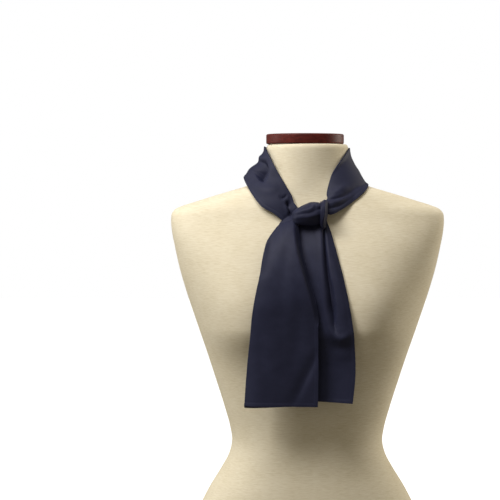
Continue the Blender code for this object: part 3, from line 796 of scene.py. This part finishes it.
# %% The band's creases
BAND_CREASES = (
    # the turned-out edge on the left, swollen where the cloth doubles over itself
    (2.0, ((-60.0, 741.0, 3.0, 3.0, 0.0), (-64.0, 732.5, 4.0, 4.0, 3.4), (-70.5, 725.0, 5.0, 4.4, 6.6),
           (-77.0, 716.5, 5.0, 4.4, 4.4), (-83.0, 707.0, 5.0, 5.0, 0.8))),
    # the hollow under it: the cloth leans over, then comes back at a crisp rim
    (1.7, ((-62.5, 734.0, 4.0, 3.4, 1.6), (-62.0, 729.0, 6.0, 3.4, 3.0), (-60.5, 724.0, 7.0, 3.0, -4.5),
           (-58.5, 717.0, 9.0, 2.4, -12.5), (-58.0, 711.0, 10.0, 2.0, -18.0),
           (-59.4, 705.5, 10.0, 2.0, -20.5), (-62.6, 701.0, 8.0, 2.2, -17.5),
           (-66.0, 697.0, 6.0, 2.4, 0.0))),
    # a slack roll below it
    (2.0, ((-80.0, 697.0, 5.0, 5.0, 0.0), (-68.0, 688.0, 6.0, 6.0, 1.2), (-52.0, 684.0, 6.0, 7.0, 1.6),
           (-40.0, 690.0, 5.0, 6.0, 0.0))),
    # gathers that fan out of the knot on the right
    (2.0, ((22.0, 671.0, 1.6, 1.6, -1.4), (33.0, 672.5, 2.0, 2.0, -2.4), (45.0, 675.5, 2.6, 2.6, -2.0),
           (60.0, 684.0, 4.0, 4.0, -1.4), (70.0, 692.0, 5.0, 5.0, 0.0))),
    (2.0, ((22.0, 665.5, 2.0, 2.4, 0.8), (33.0, 667.8, 2.4, 2.4, 1.6), (42.0, 669.6, 3.0, 3.0, 1.0),
           (52.0, 674.0, 4.0, 4.0, 0.0))),
    (2.0, ((22.0, 659.0, 2.0, 2.0, -1.0), (34.0, 661.5, 2.4, 2.4, -2.2), (45.0, 666.0, 3.0, 3.0, -1.6),
           (58.0, 675.0, 4.0, 4.0, 0.0))),
    (2.0, ((26.0, 684.0, 3.0, 3.0, 0.0), (34.0, 682.0, 3.0, 3.4, 1.0), (45.0, 686.5, 4.0, 4.0, 1.6),
           (56.0, 690.0, 5.0, 5.0, 0.0))),
)
PINCHES = (
    # on the left the cloth dives under the knot, which draws it together in small pinches
    (2.0, ((-28.0, 678.0, 5.0, 2.0, 0.0), (-25.0, 668.0, 8.0, 2.6, -2.0), (-22.5, 657.0, 9.0, 3.0, -2.8),
           (-21.0, 647.0, 9.0, 3.0, -2.8), (-20.0, 637.0, 8.0, 3.0, -1.6), (-20.0, 628.0, 7.0, 3.0, 0.0))),
    (2.0, ((-41.0, 679.0, 2.0, 2.4, 0.0), (-37.0, 674.0, 2.4, 2.8, -1.6), (-32.5, 675.8, 2.0, 2.4, -1.8),
           (-29.0, 680.0, 2.0, 2.0, 0.0))),
    (2.0, ((-31.0, 671.0, 1.8, 1.8, 0.0), (-28.3, 666.2, 2.8, 2.8, -4.4), (-26.6, 660.0, 2.0, 2.2, -1.6),
           (-25.4, 654.4, 2.0, 2.2, -3.0), (-22.5, 648.0, 1.8, 2.0, -1.4), (-20.0, 641.0, 1.8, 1.8, 0.0))),
    (2.0, ((-34.0, 668.0, 2.2, 2.2, 0.0), (-31.0, 660.0, 2.4, 2.4, 1.0), (-29.0, 652.0, 2.4, 2.4, 0.8),
           (-27.0, 645.0, 2.4, 2.4, 0.0))),
)
print("band:", len(BAND_CREASES), "creases and", len(PINCHES), "pinches")

# %% The band laid round the neck
BAND_LENGTHS, BAND_ACROSS = 380, 46
BAND_OFF = 1.1        # how far the band stands off its table's surface
CHEST_ENDS, NAPE_STARTS = -20.0, 20.0  # depths between which creases give way to slack folds
SEAT = 1.7            # from the form to the middle of the band's two layers
SEAT_SOFT = 2         # passes that even out the seated band


def seated(grid, target, clearance):
    """The grid with every point nearer the target than the clearance pushed straight out."""
    resting = make_piece("resting", grid.reshape(-1, 3), [], silk)
    wrap = resting.modifiers.new("seat", "SHRINKWRAP")
    wrap.target, wrap.offset = target, clearance * MM
    wrap.wrap_method, wrap.wrap_mode = "NEAREST_SURFACEPOINT", "OUTSIDE"
    moved = resting.evaluated_get(bpy.context.evaluated_depsgraph_get()).data
    points = np.empty(grid.size)
    moved.vertices.foreach_get("co", points)
    bpy.data.objects.remove(resting)
    return points.reshape(grid.shape) / MM


def slack(along, wide):
    """Soft lengthwise folds: two sets of sine waves, 1.5 and 0.7 mm high, that die at the edges."""
    turns = 2.0 * math.pi
    broad = 1.5 * np.sin(turns * (1.6 * wide + 0.35 * np.sin(9.0 * along) + 0.1))
    fine = 0.7 * np.sin(turns * (3.1 * wide + 1.7 * along))
    return (broad + fine) * np.sin(math.pi * wide)


def round_neck(rows, creases):
    """The band's middle: a parabola across each section, then slack and creases, then the seat."""
    table = through_rows(rows, BAND_LENGTHS)
    across = np.linspace(0.0, 1.0, BAND_ACROSS)[None, :, None]
    along = np.linspace(0.0, 1.0, BAND_LENGTHS)[:, None]
    inner, outer, bow = table[:, None, 0:3], table[:, None, 3:6], table[:, None, 6:7]
    flat = inner + (outer - inner) * across
    grid = flat + normals(flat) * bow * 4.0 * across * (1.0 - across)
    behind = fade(grid[:, :, 1], CHEST_ENDS, NAPE_STARTS)
    rise = behind * slack(along, across[:, :, 0])
    for power, path in creases:
        rise = rise + (1.0 - behind) * crease(grid[:, :, 0], grid[:, :, 2], path, power)
    grid = grid + normals(flat) * (BAND_OFF + rise[:, :, None])
    return softened(seated(grid, form, SEAT), SEAT_SOFT)


band_grid = round_neck(BAND_ROWS, BAND_CREASES)
print("the band goes back to", round(float(band_grid[:, :, 1].max()), 1), "mm behind the middle plane")

# %% [markdown]
# ### The band's end, and its layers
# The end that runs over the front tail thins out as it goes, so that the two read as one cloth.
# The pinches come after that, because they run on from the band into the lap. Letting the two
# pieces meet edge to edge would be the plain way, but the joint would show as a line.

# %% The band's lap and its layers
BAND_LAYER = 0.75     # from the middle of the band to the middle of each of its layers
BAND_START = 4        # the first row of the band past the lap
LAP = (8, 6, 4, 2, 0)  # rows of the front tail that the band's end lies on, from its end up
LAP_GAP = 0.1         # between the lap's upper end and the tail
LAP_THIN = 0.14       # how far the very end of the band stands off the tail
LAP_LAYER = 0.3 * LAP_THIN  # BAND_LAYER at that end
LAP_PLY = 0.12        # share of its thickness that the ply keeps there
LAP_ROWS = 12.0       # rows over which the end gains its full thickness


def lapped(grid):
    """The grid carried on over the top of the front tail, nearer and nearer to it."""
    out = normals(front_middle)
    tail_top = (front_middle + (LAYER + 0.5 * PLY) * out)[LAP, ::-2]
    lift = np.linspace(LAP_THIN, BAND_LAYER + 0.5 * PLY + LAP_GAP, len(LAP))[:, None, None]
    rows = np.concatenate((tail_top + lift * out[LAP, ::-2], grid[BAND_START:]))
    return through_rows(rows.reshape(len(rows), -1), BAND_LENGTHS).reshape(grid.shape)


band_grid = lapped(band_grid)
full = fade(np.arange(BAND_LENGTHS), 0.0, LAP_ROWS)[:, None]
pinched = sum(crease(band_grid[:, :, 0], band_grid[:, :, 2], path, power) for power, path in PINCHES)
pinched = pinched * full * (band_grid[:, :, 1] < 0.0)
band_grid = band_grid + normals(band_grid) * pinched[:, :, None]
full = full[:, :, None]
band_ply = folded(band_grid, LAP_LAYER + (BAND_LAYER - LAP_LAYER) * full)
thickness = hem_thickness(band_ply, (False, True, True)) * (LAP_PLY + (1.0 - LAP_PLY) * full)
neck_band = shell("silk_neck_band", band_ply, thickness, silk)
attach(neck_band, "root")
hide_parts("scarf_neck_band")

# %% [markdown]
# ## The knot
# In an overhand knot one end passes round the other. What shows in front is that turn, pulled
# into a small barrel with the cloth's own folds running along it, and one narrow fold that is
# squeezed out beside it and runs down into the tail. Both are bands of cloth carried over the
# top, round the front and in under the bottom. A whole knot could be tied by simulation, but its
# inside never shows, and a table of sections keeps each fold where it belongs.

# %% The knot's sections
TURN_ROWS = (
    # x, top, bottom, front, back above, back below
    (-22.4, 652.5, 645.5, -78.5, -76.0, -77.5),
    (-20.8, 656.0, 642.0, -86.0, -75.0, -81.5),
    (-17.5, 659.0, 640.0, -91.5, -74.0, -85.0),
    (-12.5, 661.6, 639.0, -94.5, -72.5, -86.5),
    (-6.0, 664.8, 638.4, -96.5, -71.0, -87.2),
    (2.3, 668.0, 638.4, -97.3, -70.0, -87.4),
    (9.0, 668.2, 639.0, -96.0, -70.0, -87.2),
    (14.0, 667.6, 640.6, -94.2, -71.0, -87.0),
    (19.5, 667.0, 642.8, -92.6, -72.0, -87.0),
)
TURN_CREASES = (
    (2.0, ((-22.0, 650.5, 2.6, 2.4, 0.4), (-11.0, 653.0, 3.0, 2.6, 1.3), (1.6, 655.0, 3.0, 2.8, 1.5),
           (11.0, 659.0, 2.6, 2.6, 1.0), (19.0, 660.5, 2.2, 2.2, 0.3))),
    (2.0, ((-19.0, 655.0, 1.6, 1.6, -0.2), (-9.0, 657.8, 1.8, 1.8, -0.5), (2.0, 660.6, 1.8, 2.0, -0.7),
           (8.0, 664.6, 2.2, 2.6, -2.6), (12.6, 663.0, 2.2, 2.6, -3.0), (18.0, 663.0, 1.8, 1.8, -1.0))),
    (2.0, ((-20.0, 643.6, 1.6, 2.0, 0.3), (-13.0, 644.6, 2.0, 2.4, 0.3), (-4.0, 647.6, 2.2, 2.4, 0.1),
           (4.0, 650.0, 2.2, 2.4, 0.0))),
    (2.0, ((-14.0, 648.4, 1.6, 1.6, 0.0), (-2.0, 649.0, 1.8, 1.8, -0.5), (10.0, 652.0, 1.8, 1.8, -0.6),
           (19.0, 653.0, 1.6, 1.6, -0.3))),
)
FOLD_ROWS = (
    (15.0, 669.0, 638.6, -97.8, -72.0, -87.6),
    (16.8, 668.8, 636.0, -98.4, -73.0, -87.6),
    (18.8, 670.2, 633.0, -97.6, -73.5, -87.0),
    (20.8, 671.4, 634.0, -94.4, -74.0, -84.6),
    (22.8, 671.2, 642.0, -89.0, -74.4, -80.6),
    (24.6, 670.0, 651.0, -83.0, -74.8, -77.0),
)
FOLD_CREASES = (
    (2.0, ((20.8, 672.0, 0.9, 0.9, -0.5), (20.2, 662.0, 1.0, 1.0, -1.2), (18.8, 650.0, 1.0, 1.0, -1.2),
           (18.0, 641.0, 0.9, 0.9, -0.6))),
)
print("knot:", len(TURN_ROWS) + len(FOLD_ROWS), "sections")

# %% The turn and the fold beside it
KNOT_PLY = 0.9
KNOT_CREST = 0.9      # under 1, the loop is fullest above its middle
KNOT_ALONG, KNOT_ROUND = 90, 90


def knot_piece(name, rows, creases):
    """A turn: each row is half a flattened ring, from behind over the top, round and in below."""
    table = through_rows(rows, KNOT_ALONG)
    x, top, bottom, front, above, below = (table[:, at:at + 1] for at in range(6))
    round_it = np.linspace(0.0, 1.0, KNOT_ROUND)[None, :]
    back = above + (below - above) * round_it
    y = back + (front - back) * np.sin(math.pi * round_it ** KNOT_CREST)
    z = 0.5 * (top + bottom) + 0.5 * (top - bottom) * np.cos(math.pi * round_it)
    grid = np.stack((x + 0.0 * round_it, y, z), axis=2)
    out = normals(grid)
    rise = np.zeros(grid.shape[:2])
    for power, path in creases:
        rise = rise + crease(grid[:, :, 0], grid[:, :, 2], path, power)
    rise = rise * np.sqrt(np.sin(math.pi * round_it))
    return shell(name, grid + out * (rise[:, :, None] - 0.5 * KNOT_PLY), KNOT_PLY, silk)


knot_turn = knot_piece("silk_knot_turn", TURN_ROWS, TURN_CREASES)
knot_fold = knot_piece("silk_knot_fold", FOLD_ROWS, FOLD_CREASES)
for piece, node in ((knot_turn, "scarf_knot_turn"), (knot_fold, "scarf_knot_fold")):
    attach(piece, "root")
    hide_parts(node)

# %% [markdown]
# ## The sheets' own sizes
# The scarf is cut as one oblong, about 0.20 m wide and 1.1 m long, and folded to half its width.

print("the scarf: one oblong of silk folded to half its width")

# %% [markdown]
# ## The floor
# A plain white floor of matt paint, far wider than the view, so that no edge of it shows. Its
# brightness is painted light: it glows, weakly at the foot of the form and more further out, which
# keeps a soft shadow there and no horizon beyond. It is seen, but it sends no light back up under
# the bust and the folds, which a white floor close by would flatten.

# %% Floor
FLOOR_REACH = 9000.0                 # millimetres to either side
GLOW_NEAR, GLOW_FAR = 0.3, 1.4       # metres from the form
GLOW_LOW, GLOW_HIGH = 0.5, 1.0
plain, tree, shader = new_finish("white_paint_painted_glow", Roughness=0.9, Specular_IOR_Level=0.2)
shader.inputs["Base Color"].default_value = linear("F4F4F4")
# the emission is a painted glow, not a lamp: dimmer near the form and full further out
shader.inputs["Emission Color"].default_value = (1.0, 1.0, 1.0, 1.0)
place = add(tree, "ShaderNodeTexCoord").outputs["Object"]
reach = add(tree, "ShaderNodeVectorMath", operation="LENGTH", links={0: place}).outputs["Value"]
glow = add(tree, "ShaderNodeMapRange", links={"Value": reach},
           values={"From Min": GLOW_NEAR, "From Max": GLOW_FAR, "To Min": GLOW_LOW, "To Max": GLOW_HIGH})
tree.links.new(glow.outputs[0], shader.inputs["Emission Strength"])
corners = np.array([(a, b, 0.0) for a, b in ((-1, -1), (1, -1), (1, 1), (-1, 1))]) * FLOOR_REACH
floor = make_piece("floor", corners, [(0, 1, 2, 3)], plain)
floor.visible_diffuse = floor.visible_glossy = False
print("floor", 2.0 * FLOOR_REACH * MM, "m wide")
